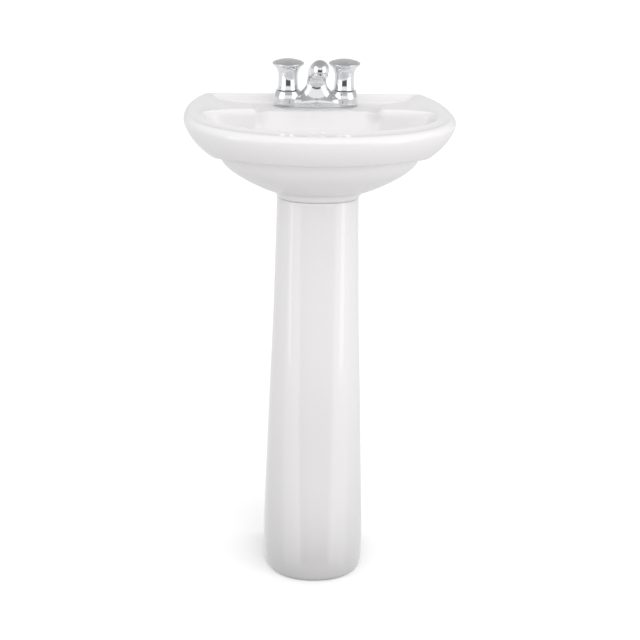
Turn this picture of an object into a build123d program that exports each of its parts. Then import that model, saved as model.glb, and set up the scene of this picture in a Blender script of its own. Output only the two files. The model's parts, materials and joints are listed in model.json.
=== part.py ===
from build123d import *
import os
from math import copysign, cos, pi, sin, tan

os.makedirs("parts", exist_ok=True)

# Pedestal sink. Millimetres, +Z up, front towards -Y, the floor at z = 0.

# Basin and pedestal
WALL_Y = 202.0  # the finished wall
HALF_WIDTH = 239.5  # basin, half its greatest width
HALF_DEPTH = 202.0  # basin, half its depth from the wall to the front rim
RIM_Z = 848.0  # rim above the floor
CREST_Z = 840.0  # height where the rim is widest
BAND_DROP = 69.0  # rim band, from its widest line down to its lower edge
BAND_TUCK = 64.0  # how far the band curls in over that drop
DECK_Z = 839.0  # faucet deck, sunk below the rim
DECK_THICK = 14.0
BOWL_FLOOR_Z = 725.0
SEAT_Z = 702.0  # the basin's foot rests on the pedestal at this height
CHINA = 12.0  # wall of the cast china
BOWL_BACK_Y = 80.0
BELLY_BACK_Y = 98.0
DRAIN_Y = -13.0
DRAIN_HOLE_R = 22.5
PEDESTAL_BACK_Y = 100.0
PEDESTAL_SLOT = 90.0  # opening between the pedestal's rear flanges

# Faucet
FAUCET_Y = 125.0
CENTRES = 101.6  # handle to handle
DECK_HOLE_R = 16.0
GASKET = 2.0
PLATE_Z = DECK_Z + GASKET
PLATE_TOP_Z = 858.0
HUB_TOP_Z = 869.0
HANDLE_FOOT_Z = 869.5
HANDLE_EDGE_Z = 917.0
HANDLE_TOP_Z = 925.0
HANDLE_EDGE_R = 28.6
NECK_Y = 115.0
TIP_Y = 27.0
TIP_Z = 923.0
TIP_R = 16.0
OUTLET_Z = 917.0
SHANK_R = 10.5
INLET_R = 10.2  # threaded tail that takes the supply's coupling nut
INLET_LENGTH = 26.0
SHANK_END_Z = 785.0

# Pop-up drain linkage
LIFT_Y = 137.0
LIFT_ROD_R = 2.5
LIFT_TRAVEL = 35.0
PIVOT_Y = 14.0
PIVOT_Z = 665.0
BALL_R = 6.0
STRAP_Y = 140.5
STRAP_THICK = 1.6
TILT = LIFT_TRAVEL / 2 / (STRAP_Y - PIVOT_Y)  # radians either side of level
STOPPER_LIFT = 2 * (PIVOT_Y - DRAIN_Y) * tan(TILT)

# Waste
DRAIN_BODY_R = 17.5
DRAIN_BODY_END_Z = 618.0
TUBE_R = 15.9
TUBE_WALL = 1.5
TAIL_END_Z = 512.0
BEND_R = 40.0
BEND_TOP_Z = 520.0
RUN = 0.05  # radial clearance of a turning or sliding fit


def side_points(half_width, widest_y, back_y, back_half):
    """Right side from the back corner to just behind the widest line, easing outwards."""
    points = []
    for share in (1.0, 0.75, 0.4):
        tuck = (half_width - back_half) * share**2.5
        points.append((half_width - tuck, widest_y + (back_y - widest_y) * share))
    return points


def front_points(half_width, widest_y, front_y, power, steps=10):
    """Points of a superellipse from the right side, round the front, to the left."""
    points = []
    for step in range(steps + 1):
        turn = pi * step / steps
        across = copysign(abs(cos(turn)) ** (2 / power), cos(turn))
        forward = abs(sin(turn)) ** (2 / power)
        points.append((half_width * across, widest_y - (widest_y - front_y) * forward))
    return points


def d_section(half_width, widest_y, front_y, back_y, back_half, power=2.5):
    """A plan section with a straight back, easy sides and a round front."""
    right = side_points(half_width, widest_y, back_y, back_half)
    front = front_points(half_width, widest_y, front_y, power)
    left = [(-x, y) for x, y in reversed(right)]
    with BuildSketch() as section:
        with BuildLine():
            Line((-back_half, back_y), (back_half, back_y))
            Spline(*right, *front, *left)
        make_face()
    return section.sketch


def band_tuck(z):
    """How far the rim band has curled in at height z, a superellipse quarter."""
    drop = min(max((CREST_Z - z) / BAND_DROP, 0.0), 1.0)
    return BAND_TUCK * (1 - (1 - drop**1.8) ** (1 / 1.8))


# Basin: rim band, belly and foot in one casting ---------------------------------

BAND_HEIGHTS = [772.0, 777.0, 786.0, 801.0, 820.0, CREST_Z]
# height, half width, front edge of the belly
BELLY = [(800, 181, -151), (767, 173, -138), (745, 146, -114), (727, 113, -86), (713, 82, -58)]
# height, half width, widest line, front, back, half of the back
BOWL = [
    (RIM_Z + 1, 213, 0, -157, BOWL_BACK_Y, 112),
    (822, 203, 0, -150, 79, 110),
    (797, 180, 0, -133, 74, 104),
    (768, 153, 0, -112, 66, 95),
    (742, 116, -2, -88, 54, 78),
    (BOWL_FLOOR_Z, 45, DRAIN_Y, -50, 24, 26),
]
OVERFLOW_Z = 815.0
OVERFLOW_R = 9.0
WALL_BOLT_SPACING = 280.0
WALL_BOLT_R = 7.0
with BuildPart() as basin:
    for z in BAND_HEIGHTS:
        tuck = band_tuck(z)
        with BuildSketch(Plane.XY.offset(z)):
            add(d_section(HALF_WIDTH - tuck, 7, -HALF_DEPTH + 0.8 * tuck, WALL_Y + 2, 203 - 0.3 * tuck))
    with BuildSketch(Plane.XY.offset(RIM_Z)):
        add(d_section(HALF_WIDTH - 6, 7, -HALF_DEPTH + 6, WALL_Y + 2, 200))
    loft()
    # the back is ground flat for the wall
    split(bisect_by=Plane.XZ.offset(-WALL_Y), keep=Keep.TOP)
    # the band's lower edge climbs towards the front
    with BuildSketch(Plane.YZ.offset(-250)):
        Polygon((10, 760), (10, 771), (-150, 795), (-210, 795), (-210, 760), align=None)
    extrude(amount=500, mode=Mode.SUBTRACT)
    for z, half, front in BELLY:
        with BuildSketch(Plane.XY.offset(z)):
            add(d_section(half, 2, front, BELLY_BACK_Y, 0.8 * half, 2.2))
    loft()
    for z, half in ((SEAT_Z, 73), (SEAT_Z + 15, 80)):
        with BuildSketch(Plane.XY.offset(z)):
            add(d_section(half, 25, -half + 22, BELLY_BACK_Y, 0.85 * half, 2.7))
    loft()
    for z, half, widest, front, back, back_half in BOWL:
        with BuildSketch(Plane.XY.offset(z)):
            add(d_section(half, widest, front, back, back_half, 2.3))
    loft(mode=Mode.SUBTRACT)
    # sunk deck, swept in from the back corners to the bowl
    with BuildSketch(Plane.XY.offset(DECK_Z)):
        with BuildLine():
            Line((-184, 190), (184, 190))
            Spline((184, 190), (166, 145), (146, 118), (115, 105), (104, 76))
            Line((104, 76), (-104, 76))
            Spline((-104, 76), (-115, 105), (-146, 118), (-166, 145), (-184, 190))
        make_face()
    extrude(amount=10, mode=Mode.SUBTRACT)
    # space under the deck, open below
    with BuildSketch(Plane.XY.offset(SEAT_Z)):
        with Locations((0, (BELLY_BACK_Y + WALL_Y - CHINA) / 2)):
            RectangleRounded(360, WALL_Y - CHINA - BELLY_BACK_Y, 15)
    extrude(amount=DECK_Z - DECK_THICK - SEAT_Z, mode=Mode.SUBTRACT)
    # hollow inside the foot, open to the rear
    with BuildSketch(Plane.XY.offset(SEAT_Z)):
        add(d_section(73 - CHINA, 25, -39, BELLY_BACK_Y, 0.85 * (73 - CHINA), 2.7))
    extrude(amount=BOWL_FLOOR_Z - CHINA - SEAT_Z, mode=Mode.SUBTRACT)
    with Locations((0, DRAIN_Y, BOWL_FLOOR_Z)):
        Hole(DRAIN_HOLE_R, depth=2 * CHINA)
    with BuildSketch(Plane.XY.offset(DECK_Z)):
        with Locations((0, FAUCET_Y)):
            with GridLocations(CENTRES / 2, 0, 3, 1):
                Circle(DECK_HOLE_R)
    extrude(amount=-2 * DECK_THICK, mode=Mode.SUBTRACT)
    with BuildSketch(Plane.XZ.offset(-WALL_Y)):
        with Locations((0, 800)):
            with GridLocations(WALL_BOLT_SPACING, 0, 2, 1):
                Circle(WALL_BOLT_R)
    extrude(amount=2 * CHINA, mode=Mode.SUBTRACT)
    # overflow mouth in the front wall of the bowl
    with BuildSketch(Plane.XZ.offset(140)):
        with Locations((0, OVERFLOW_Z)):
            Circle(OVERFLOW_R)
    extrude(amount=25, mode=Mode.SUBTRACT)
basin.part.label = "basin"
export_step(basin.part, "parts/basin.step")


# Pedestal: a tapered china shell, open at the back between two flanges ----------

# height, half width, widest line, front, roundness of the front
PEDESTAL = [
    (0, 90, -2, -113, 2.25),
    (26, 92, -2, -117, 2.25),
    (200, 87.5, 4, -96, 2.35),
    (370, 81.5, 12, -77, 2.5),
    (540, 75.8, 20, -61, 2.65),
    (SEAT_Z, 72.5, 25, -50, 2.75),
]
with BuildPart() as pedestal:
    for z, half, widest, front, power in PEDESTAL:
        with BuildSketch(Plane.XY.offset(z)):
            add(d_section(half, widest, front, PEDESTAL_BACK_Y, 0.85 * half, power))
    loft()
    for z, half, widest, front, power in PEDESTAL:
        inner = half - CHINA
        with BuildSketch(Plane.XY.offset(z)):
            add(d_section(inner, widest, front + CHINA, PEDESTAL_BACK_Y - CHINA, 0.85 * inner, power))
    loft(mode=Mode.SUBTRACT)
    with Locations((0, PEDESTAL_BACK_Y, SEAT_Z / 2)):
        Box(PEDESTAL_SLOT, 4 * CHINA, SEAT_Z + 2, mode=Mode.SUBTRACT)
    # bridge across the foot, with the hole for the floor bolt
    with Locations((0, PEDESTAL_BACK_Y - 26, 7)):
        Box(150, 28, 14)
    with Locations((0, PEDESTAL_BACK_Y - 26, 14)):
        Hole(5.5, depth=20)
pedestal.part.label = "pedestal"
export_step(pedestal.part, "parts/pedestal.step")


# Faucet body: base plate, hubs, shoulders and spout in one chromed casting ------

VALVES = ((-CENTRES / 2, "left"), (CENTRES / 2, "right"))
HUB_BORE_R = 15.3
WATERWAY_Z = 850.5
RISER_R = 6.5
SPOUT_HALF_WIDTH = 15.5
SPOUT_HALF_DEPTH = 11.0
SPOUT_FOOT_Z = 854.0
SPOUT_END_Z = TIP_Z + TIP_R - SPOUT_HALF_DEPTH
PLATE_HOLLOW = 14.0


def plate_face(inset=0.0):
    """Plan of the base plate: straight back, square ends, a bowed front."""
    end, back, shoulder, bow = 77 - inset, 149 - inset, 116 + inset, 96 + inset
    with BuildSketch() as plate:
        with BuildLine() as outline:
            Polyline((end, shoulder), (end, back), (-end, back), (-end, shoulder))
            ThreePointArc((-end, shoulder), (0, bow), (end, shoulder))
            fillet(outline.vertices(), 7)
        make_face()
    return plate.sketch


def spout_path():
    """Centre line of the spout: straight up the neck, then forward to the tip."""
    with BuildLine() as path:
        FilletPolyline((0, NECK_Y, SPOUT_FOOT_Z), (0, NECK_Y, 917), (0, TIP_Y, SPOUT_END_Z), radius=36)
    return path.line


spout_line = spout_path()
with BuildPart() as faucet_body:
    with BuildSketch(Plane.XY.offset(PLATE_Z)):
        add(plate_face())
    extrude(amount=PLATE_TOP_Z - PLATE_Z, taper=4)
    fillet(faucet_body.faces().sort_by(Axis.Z)[-1].edges(), 2.5)
    # shoulders from the neck down to the hubs
    with BuildSketch(Plane.XZ.offset(-FAUCET_Y - 14)):
        with BuildLine():
            Polyline((46, PLATE_Z + 3), (-46, PLATE_Z + 3), (-46, 864))
            Spline((-46, 864), (-30, 867), (-14, 881))
            Line((-14, 881), (14, 881))
            Spline((14, 881), (30, 867), (46, 864))
            Line((46, 864), (46, PLATE_Z + 3))
        make_face()
    extrude(amount=32)
    fillet(faucet_body.faces().filter_by(Axis.Y).edges().group_by(Axis.Z)[-1], 5)
    for x, side in VALVES:
        with BuildSketch(Plane.XY.offset(PLATE_Z + 3)):
            with Locations((x, FAUCET_Y)):
                Circle(23.5)
        extrude(amount=HUB_TOP_Z - PLATE_Z - 3, taper=6)
    with BuildSketch(Plane(spout_line @ 0, x_dir=(1, 0, 0), z_dir=spout_line % 0)):
        Ellipse(SPOUT_HALF_WIDTH, SPOUT_HALF_DEPTH)
    sweep(path=spout_line)
    with Locations((0, TIP_Y, TIP_Z)):
        Sphere(TIP_R, arc_size1=0)
        Cylinder(TIP_R, TIP_Z - OUTLET_Z, align=(Align.CENTER, Align.CENTER, Align.MAX))
    # hollow under the plate, hub bores, water passage, outlet and lift rod hole
    with BuildSketch(Plane.XY.offset(PLATE_Z)):
        add(plate_face(4))
    extrude(amount=PLATE_HOLLOW, mode=Mode.SUBTRACT)
    with Locations(*[(x, FAUCET_Y, HUB_TOP_Z) for x, side in VALVES]):
        Hole(HUB_BORE_R, depth=HUB_TOP_Z - PLATE_Z)
    with BuildSketch(Plane(spout_line @ 0, z_dir=spout_line % 0)):
        Circle(RISER_R + RUN)
    sweep(path=spout_line, mode=Mode.SUBTRACT)
    with Locations((0, TIP_Y, OUTLET_Z)):
        Cylinder(11, 8, align=(Align.CENTER, Align.CENTER, Align.MIN), mode=Mode.SUBTRACT)
        Cylinder(TIP_R, 20, align=(Align.CENTER, Align.CENTER, Align.MAX), mode=Mode.SUBTRACT)
    with Locations((0, LIFT_Y, 900)):
        Hole(LIFT_ROD_R + 2 * RUN, depth=60)
faucet_body.part.label = "faucet_body"
export_step(faucet_body.part, "parts/faucet_body.step")

# Brass waterway under the casting: two valve sockets, shanks, cross tube, riser --

SOCKET_R = 15.0
SOCKET_BORE_R = 11.05
SOCKET_TOP_Z = 866.0
with BuildPart() as waterway:
    for x, side in VALVES:
        with Locations((x, FAUCET_Y, PLATE_Z)):
            Cylinder(SOCKET_R, SOCKET_TOP_Z - PLATE_Z, align=(Align.CENTER, Align.CENTER, Align.MIN))
            shank_align = (Align.CENTER, Align.CENTER, Align.MAX)
            Cylinder(SHANK_R, PLATE_Z - SHANK_END_Z - INLET_LENGTH, align=shank_align)
            Cylinder(INLET_R, PLATE_Z - SHANK_END_Z, align=shank_align)
    with Locations(Location((0, FAUCET_Y - 4, WATERWAY_Z), (0, 90, 0))):
        Cylinder(4.4, CENTRES)
    with Locations((0, NECK_Y, WATERWAY_Z - 4)):
        Cylinder(RISER_R, 12, align=(Align.CENTER, Align.CENTER, Align.MIN))
    with Locations((0, NECK_Y, WATERWAY_Z)):
        Cylinder(4, 14, align=(Align.CENTER, Align.CENTER, Align.MIN), mode=Mode.SUBTRACT)
    with Locations(Location((0, FAUCET_Y - 4, WATERWAY_Z), (0, 90, 0))):
        Cylinder(2.8, CENTRES, mode=Mode.SUBTRACT)
    for x, side in VALVES:
        with Locations((x, FAUCET_Y, SOCKET_TOP_Z)):
            Hole(SOCKET_BORE_R, depth=SOCKET_TOP_Z - WATERWAY_Z + 2)
            Hole(7, depth=100)
waterway.part.label = "waterway"
export_step(waterway.part, "parts/waterway.step")

with BuildPart() as base_gasket:
    with BuildSketch(Plane.XY.offset(DECK_Z)):
        add(plate_face(1.5))
        with Locations(*[(x, FAUCET_Y) for x, side in VALVES]):
            Circle(SHANK_R + 0.2, mode=Mode.SUBTRACT)
        with Locations((0, LIFT_Y)):
            Circle(4, mode=Mode.SUBTRACT)
    extrude(amount=GASKET)
base_gasket.part.label = "base_gasket"
export_step(base_gasket.part, "parts/base_gasket.step")

# Washers and nuts that pull the shanks down against the china -------------------

DECK_UNDER_Z = DECK_Z - DECK_THICK
with BuildPart() as mounting_washers:
    with BuildSketch(Plane.XY.offset(DECK_UNDER_Z)):
        with Locations(*[(x, FAUCET_Y) for x, side in VALVES]):
            Circle(21)
            Circle(SHANK_R + 0.2, mode=Mode.SUBTRACT)
    extrude(amount=-3)
mounting_washers.part.label = "mounting_washers"
export_step(mounting_washers.part, "parts/mounting_washers.step")

with BuildPart() as mounting_nuts:
    with BuildSketch(Plane.XY.offset(DECK_UNDER_Z - 3)):
        with Locations(*[(x, FAUCET_Y) for x, side in VALVES]):
            RegularPolygon(20, 6)
    extrude(amount=-10)
    with Locations(*[(x, FAUCET_Y, DECK_UNDER_Z - 3) for x, side in VALVES]):
        Hole(SHANK_R, depth=20)
mounting_nuts.part.label = "mounting_nuts"
export_step(mounting_nuts.part, "parts/mounting_nuts.step")

# Aerator: screwed ring, washer above it and the screen inside -------------------

AERATOR_R = 14.0
AERATOR_HEIGHT = 8.5
with BuildPart() as aerator_ring:
    with Locations((0, TIP_Y, OUTLET_Z)):
        Cylinder(AERATOR_R, AERATOR_HEIGHT, align=(Align.CENTER, Align.CENTER, Align.MAX))
        Cylinder(11, 5, align=(Align.CENTER, Align.CENTER, Align.MIN))
    with Locations((0, TIP_Y, OUTLET_Z - AERATOR_HEIGHT)):
        with PolarLocations(AERATOR_R, 9):
            Box(2, 3.5, 11, mode=Mode.SUBTRACT)
    with Locations((0, TIP_Y, OUTLET_Z + 5)):
        Hole(9, depth=20)
aerator_ring.part.label = "aerator_ring"
export_step(aerator_ring.part, "parts/aerator_ring.step")

with BuildPart() as aerator_washer:
    with BuildSketch(Plane.XY.offset(OUTLET_Z + 5)):
        with Locations((0, TIP_Y)):
            Circle(10.9)
            Circle(8, mode=Mode.SUBTRACT)
    extrude(amount=2)
aerator_washer.part.label = "aerator_washer"
export_step(aerator_washer.part, "parts/aerator_washer.step")

with BuildPart() as aerator_screen:
    with BuildSketch(Plane.XY.offset(OUTLET_Z - AERATOR_HEIGHT + 1)):
        with Locations((0, TIP_Y)):
            Circle(9)
            with GridLocations(3, 3, 5, 5):
                Circle(0.8, mode=Mode.SUBTRACT)
    extrude(amount=4)
aerator_screen.part.label = "aerator_screen"
export_step(aerator_screen.part, "parts/aerator_screen.step")


# Valves and handles, one set at each end ----------------------------------------

CAVITY_TOP_Z = 897.0
CAP_SEAT_Z = 915.0
CAP_R = 22.0
STEM_R = 4.0
STEM_TOP_Z = 906.0
NUT_Z = SOCKET_TOP_Z + 0.5
NUT_HEIGHT = 8.0


def dome_z(radius):
    """Height of the handle's shallow domed top at a radius."""
    return HANDLE_TOP_Z - (HANDLE_TOP_Z - HANDLE_EDGE_Z - 1) * (radius / HANDLE_EDGE_R) ** 2


for x, side in VALVES:
    with BuildPart() as cartridge:
        with Locations((x, FAUCET_Y, WATERWAY_Z + 1)):
            Cylinder(11, NUT_Z - WATERWAY_Z - 1, align=(Align.CENTER, Align.CENTER, Align.MIN))
        with Locations((x, FAUCET_Y, NUT_Z)):
            Cylinder(8, NUT_HEIGHT, align=(Align.CENTER, Align.CENTER, Align.MIN))
        with Locations((x, FAUCET_Y, NUT_Z + NUT_HEIGHT)):
            Hole(STEM_R + RUN, depth=19)
        with Locations((x, FAUCET_Y, WATERWAY_Z + 1)):
            Cylinder(3, 12, mode=Mode.SUBTRACT)
    cartridge.part.label = f"{side}_cartridge"
    export_step(cartridge.part, f"parts/{side}_cartridge.step")

    with BuildPart() as bonnet_nut:
        with BuildSketch(Plane.XY.offset(NUT_Z)):
            with Locations((x, FAUCET_Y)):
                RegularPolygon(14, 6)
                Circle(8, mode=Mode.SUBTRACT)
        extrude(amount=NUT_HEIGHT - 1)
    bonnet_nut.part.label = f"{side}_bonnet_nut"
    export_step(bonnet_nut.part, f"parts/{side}_bonnet_nut.step")

    with BuildPart() as stem:
        with Locations((x, FAUCET_Y, NUT_Z + NUT_HEIGHT - 18)):
            Cylinder(STEM_R, STEM_TOP_Z - NUT_Z - NUT_HEIGHT + 18, align=(Align.CENTER, Align.CENTER, Align.MIN))
        with Locations((x, FAUCET_Y, STEM_TOP_Z)):
            Hole(2, depth=15)
    stem.part.label = f"{side}_stem"
    export_step(stem.part, f"parts/{side}_stem.step")

    with BuildPart() as handle:
        with BuildSketch(Plane.XZ):
            with BuildLine():
                Polyline((0, dome_z(0)), (0, HANDLE_FOOT_Z), (19.8, HANDLE_FOOT_Z), (19.8, HANDLE_FOOT_Z + 2))
                Spline(
                    (19.8, HANDLE_FOOT_Z + 2), (17.9, 882), (17.3, 895), (20.2, 907), (HANDLE_EDGE_R, 916)
                )
                Line((HANDLE_EDGE_R, 916), (HANDLE_EDGE_R, dome_z(HANDLE_EDGE_R)))
                Spline((HANDLE_EDGE_R, dome_z(HANDLE_EDGE_R)), (CAP_R, dome_z(CAP_R)), (0, dome_z(0)))
            make_face()
        revolve(axis=Axis.Z)
        with Locations((0, 0, HANDLE_FOOT_Z)):
            Cylinder(15, 13, align=(Align.CENTER, Align.CENTER, Align.MIN), mode=Mode.SUBTRACT)
            cavity = CAVITY_TOP_Z - HANDLE_FOOT_Z
            Cylinder(13, cavity, align=(Align.CENTER, Align.CENTER, Align.MIN), mode=Mode.SUBTRACT)
        with Locations((0, 0, CAP_SEAT_Z)):
            Hole(2.2, depth=20)
            Cylinder(CAP_R, 15, align=(Align.CENTER, Align.CENTER, Align.MIN), mode=Mode.SUBTRACT)
        with Locations((0, 0, STEM_TOP_Z)):
            Hole(STEM_R, depth=20)
    handle.part.locate(Location((x, FAUCET_Y, 0)))
    handle.part.label = f"{side}_handle"
    export_step(handle.part, f"parts/{side}_handle.step")

    with BuildPart() as handle_cap:
        with BuildSketch(Plane.XZ):
            with BuildLine():
                Polyline((0, dome_z(0)), (0, CAP_SEAT_Z + 2.5), (CAP_R, CAP_SEAT_Z + 2.5))
                Line((CAP_R, CAP_SEAT_Z + 2.5), (CAP_R, dome_z(CAP_R)))
                Spline((CAP_R, dome_z(CAP_R)), (CAP_R / 2, dome_z(CAP_R / 2)), (0, dome_z(0)))
            make_face()
        revolve(axis=Axis.Z)
    handle_cap.part.locate(Location((x, FAUCET_Y, 0)))
    handle_cap.part.label = f"{side}_handle_cap"
    export_step(handle_cap.part, f"parts/{side}_handle_cap.step")

    with BuildPart() as handle_screw:
        with Locations((x, FAUCET_Y, CAP_SEAT_Z)):
            Cylinder(4.2, 2.4, align=(Align.CENTER, Align.CENTER, Align.MIN))
            Cylinder(2, CAP_SEAT_Z - STEM_TOP_Z + 14, align=(Align.CENTER, Align.CENTER, Align.MAX))
        with BuildSketch(Plane.XY.offset(CAP_SEAT_Z + 2.4)):
            with Locations((x, FAUCET_Y)):
                SlotOverall(6, 1.2)
                Rectangle(1.2, 6)
        extrude(amount=-1.6, mode=Mode.SUBTRACT)
    handle_screw.part.label = f"{side}_handle_screw"
    export_step(handle_screw.part, f"parts/{side}_handle_screw.step")

# Rubber seats under the cartridges ----------------------------------------------

with BuildPart() as valve_seats:
    with BuildSketch(Plane.XY.offset(WATERWAY_Z - 2)):
        with Locations(*[(x, FAUCET_Y) for x, side in VALVES]):
            Circle(SOCKET_BORE_R)
            Circle(7, mode=Mode.SUBTRACT)
    extrude(amount=3)
valve_seats.part.label = "valve_seats"
export_step(valve_seats.part, "parts/valve_seats.step")


# Pop-up linkage: knob, lift rod, strap, clamp screw and spring clip -------------

KNOB_Z = 900.0
STRAP_TOP_Z = 722.0
STRAP_END_Z = 638.0
ROD_END_Z = 700.0
TABS = (716.0, 706.0)
ROD_AT_STRAP_Z = PIVOT_Z - (STRAP_Y - PIVOT_Y) * tan(TILT)
STRAP_HOLE_R = 3.8

with BuildPart() as lift_knob:
    with BuildSketch(Plane.XZ):
        with BuildLine():
            Polyline((0, KNOB_Z + 12), (0, KNOB_Z), (4.5, KNOB_Z), (5, KNOB_Z + 4))
            Spline((5, KNOB_Z + 4), (7.5, KNOB_Z + 7), (6, KNOB_Z + 10.5), (0, KNOB_Z + 12))
        make_face()
    revolve(axis=Axis.Z)
    with Locations((0, 0, KNOB_Z)):
        Cylinder(LIFT_ROD_R, 6, align=(Align.CENTER, Align.CENTER, Align.MIN), mode=Mode.SUBTRACT)
lift_knob.part.locate(Location((0, LIFT_Y, 0)))
lift_knob.part.label = "lift_knob"
export_step(lift_knob.part, "parts/lift_knob.step")

with BuildPart() as lift_rod:
    with Locations((0, LIFT_Y, ROD_END_Z)):
        Cylinder(LIFT_ROD_R, KNOB_Z + 6 - ROD_END_Z, align=(Align.CENTER, Align.CENTER, Align.MIN))
lift_rod.part.label = "lift_rod"
export_step(lift_rod.part, "parts/lift_rod.step")

with BuildPart() as clevis_strap:
    with Locations((0, STRAP_Y, (STRAP_TOP_Z + STRAP_END_Z) / 2)):
        Box(13, STRAP_THICK, STRAP_TOP_Z - STRAP_END_Z)
    for tab_z in TABS:
        with Locations((0, (STRAP_Y + LIFT_Y - 5) / 2, tab_z)):
            Box(13, STRAP_Y - LIFT_Y + 5, STRAP_THICK)
    with Locations((0, LIFT_Y, STRAP_TOP_Z)):
        Hole(LIFT_ROD_R, depth=30)
    with BuildSketch(Plane.XZ.offset(-STRAP_Y - 2)):
        with Locations(*[(0, ROD_AT_STRAP_Z + 11.5 * step) for step in range(5)]):
            Circle(STRAP_HOLE_R)
    extrude(amount=4, mode=Mode.SUBTRACT)
    with BuildSketch(Plane.XZ.offset(-STRAP_Y - 2)):
        with Locations((0, (TABS[0] + TABS[1]) / 2)):
            Circle(2)
    extrude(amount=4, mode=Mode.SUBTRACT)
clevis_strap.part.label = "clevis_strap"
export_step(clevis_strap.part, "parts/clevis_strap.step")

with BuildPart() as clevis_screw:
    with BuildSketch(Plane.XZ.offset(-LIFT_Y - LIFT_ROD_R)):
        with Locations((0, (TABS[0] + TABS[1]) / 2)):
            Circle(2)
    extrude(amount=-9)
    with BuildSketch(Plane.XZ.offset(-LIFT_Y - LIFT_ROD_R - 5)):
        with Locations((0, (TABS[0] + TABS[1]) / 2)):
            Circle(5.5)
            with PolarLocations(5.5, 12):
                Circle(0.5, mode=Mode.SUBTRACT)
    extrude(amount=-5)
clevis_screw.part.label = "clevis_screw"
export_step(clevis_screw.part, "parts/clevis_screw.step")

# a folded leaf that grips the ball rod on both sides of the strap
with BuildPart() as spring_clip:
    with BuildSketch(Plane.YZ.offset(-5)):
        with BuildLine():
            reach, drop, lip = 5.0, 10.0, 0.6
            Polyline(
                (STRAP_Y - reach, ROD_AT_STRAP_Z + 7),
                (STRAP_Y - reach, ROD_AT_STRAP_Z - drop),
                (STRAP_Y + reach, ROD_AT_STRAP_Z - drop),
                (STRAP_Y + reach, ROD_AT_STRAP_Z + 7),
                (STRAP_Y + reach - lip, ROD_AT_STRAP_Z + 7),
                (STRAP_Y + reach - lip, ROD_AT_STRAP_Z - drop + lip),
                (STRAP_Y - reach + lip, ROD_AT_STRAP_Z - drop + lip),
                (STRAP_Y - reach + lip, ROD_AT_STRAP_Z + 7),
                close=True,
            )
        make_face()
    extrude(amount=10)
    with BuildSketch(Plane.XZ.offset(-STRAP_Y - 8)):
        with Locations((0, ROD_AT_STRAP_Z)):
            Circle(STRAP_HOLE_R)
    extrude(amount=16, mode=Mode.SUBTRACT)
spring_clip.part.label = "spring_clip"
export_step(spring_clip.part, "parts/spring_clip.step")

# Ball rod: pivots in the drain's side port; outer end down when the drain is open
ROD_INNER = PIVOT_Y - DRAIN_Y + 4
ROD_OUTER = STRAP_Y - PIVOT_Y + 14
rod_plane = Plane(origin=(0, PIVOT_Y, PIVOT_Z), x_dir=(1, 0, 0), z_dir=(0, cos(TILT), -sin(TILT)))
with BuildPart() as ball_rod:
    with BuildSketch(rod_plane.offset(-ROD_INNER)):
        Circle(LIFT_ROD_R)
    extrude(amount=ROD_INNER + ROD_OUTER)
    with Locations((0, PIVOT_Y, PIVOT_Z)):
        Sphere(BALL_R)
ball_rod.part.label = "ball_rod"
export_step(ball_rod.part, "parts/ball_rod.step")


# Drain: flange in the bowl, body with the side port, seals and locknut ----------

FLANGE_TOP_Z = BOWL_FLOOR_Z + 3
UNDER_Z = BOWL_FLOOR_Z - CHINA
PORT_R = 9.5
PORT_END_Y = 21.0
NUT_WALL_Y = 25.0

with BuildPart() as drain_flange:
    with BuildSketch(Plane.XZ):
        Polygon(
            (15, UNDER_Z + 1), (DRAIN_BODY_R, UNDER_Z + 1), (20.5, BOWL_FLOOR_Z),
            (30, BOWL_FLOOR_Z), (30, BOWL_FLOOR_Z + 1.5), (22, FLANGE_TOP_Z), (15, FLANGE_TOP_Z - 4),
            align=None,
        )
    revolve(axis=Axis.Z)
drain_flange.part.locate(Location((0, DRAIN_Y, 0)))
drain_flange.part.label = "drain_flange"
export_step(drain_flange.part, "parts/drain_flange.step")

with BuildPart() as drain_body:
    with Locations((0, DRAIN_Y, UNDER_Z + 1)):
        body_align = (Align.CENTER, Align.CENTER, Align.MAX)
        Cylinder(DRAIN_BODY_R, UNDER_Z + 1 - DRAIN_BODY_END_Z, align=body_align)
    with BuildSketch(Plane.XZ.offset(-DRAIN_Y)):
        with Locations((0, PIVOT_Z)):
            Circle(PORT_R)
    extrude(amount=-(PORT_END_Y - DRAIN_Y))
    with Locations((0, DRAIN_Y, UNDER_Z + 1)):
        Hole(DRAIN_BODY_R - 2.2, depth=200)
    with BuildSketch(Plane.XZ.offset(-DRAIN_Y)):
        with Locations((0, PIVOT_Z)):
            Circle(BALL_R + RUN)
    extrude(amount=-40, mode=Mode.SUBTRACT)
drain_body.part.label = "drain_body"
export_step(drain_body.part, "parts/drain_body.step")

with BuildPart() as drain_gasket:
    with BuildSketch(Plane.XY.offset(UNDER_Z)):
        with Locations((0, DRAIN_Y)):
            Circle(25)
            Circle(DRAIN_BODY_R, mode=Mode.SUBTRACT)
    extrude(amount=-6, taper=15)
drain_gasket.part.label = "drain_gasket"
export_step(drain_gasket.part, "parts/drain_gasket.step")

with BuildPart() as drain_washer:
    with BuildSketch(Plane.XY.offset(UNDER_Z - 6)):
        with Locations((0, DRAIN_Y)):
            Circle(24)
            Circle(DRAIN_BODY_R, mode=Mode.SUBTRACT)
    extrude(amount=-1)
drain_washer.part.label = "drain_washer"
export_step(drain_washer.part, "parts/drain_washer.step")

with BuildPart() as drain_locknut:
    with BuildSketch(Plane.XY.offset(UNDER_Z - 7)):
        with Locations((0, DRAIN_Y)):
            RegularPolygon(24, 8)
            Circle(DRAIN_BODY_R, mode=Mode.SUBTRACT)
    extrude(amount=-9)
drain_locknut.part.label = "drain_locknut"
export_step(drain_locknut.part, "parts/drain_locknut.step")

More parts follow.
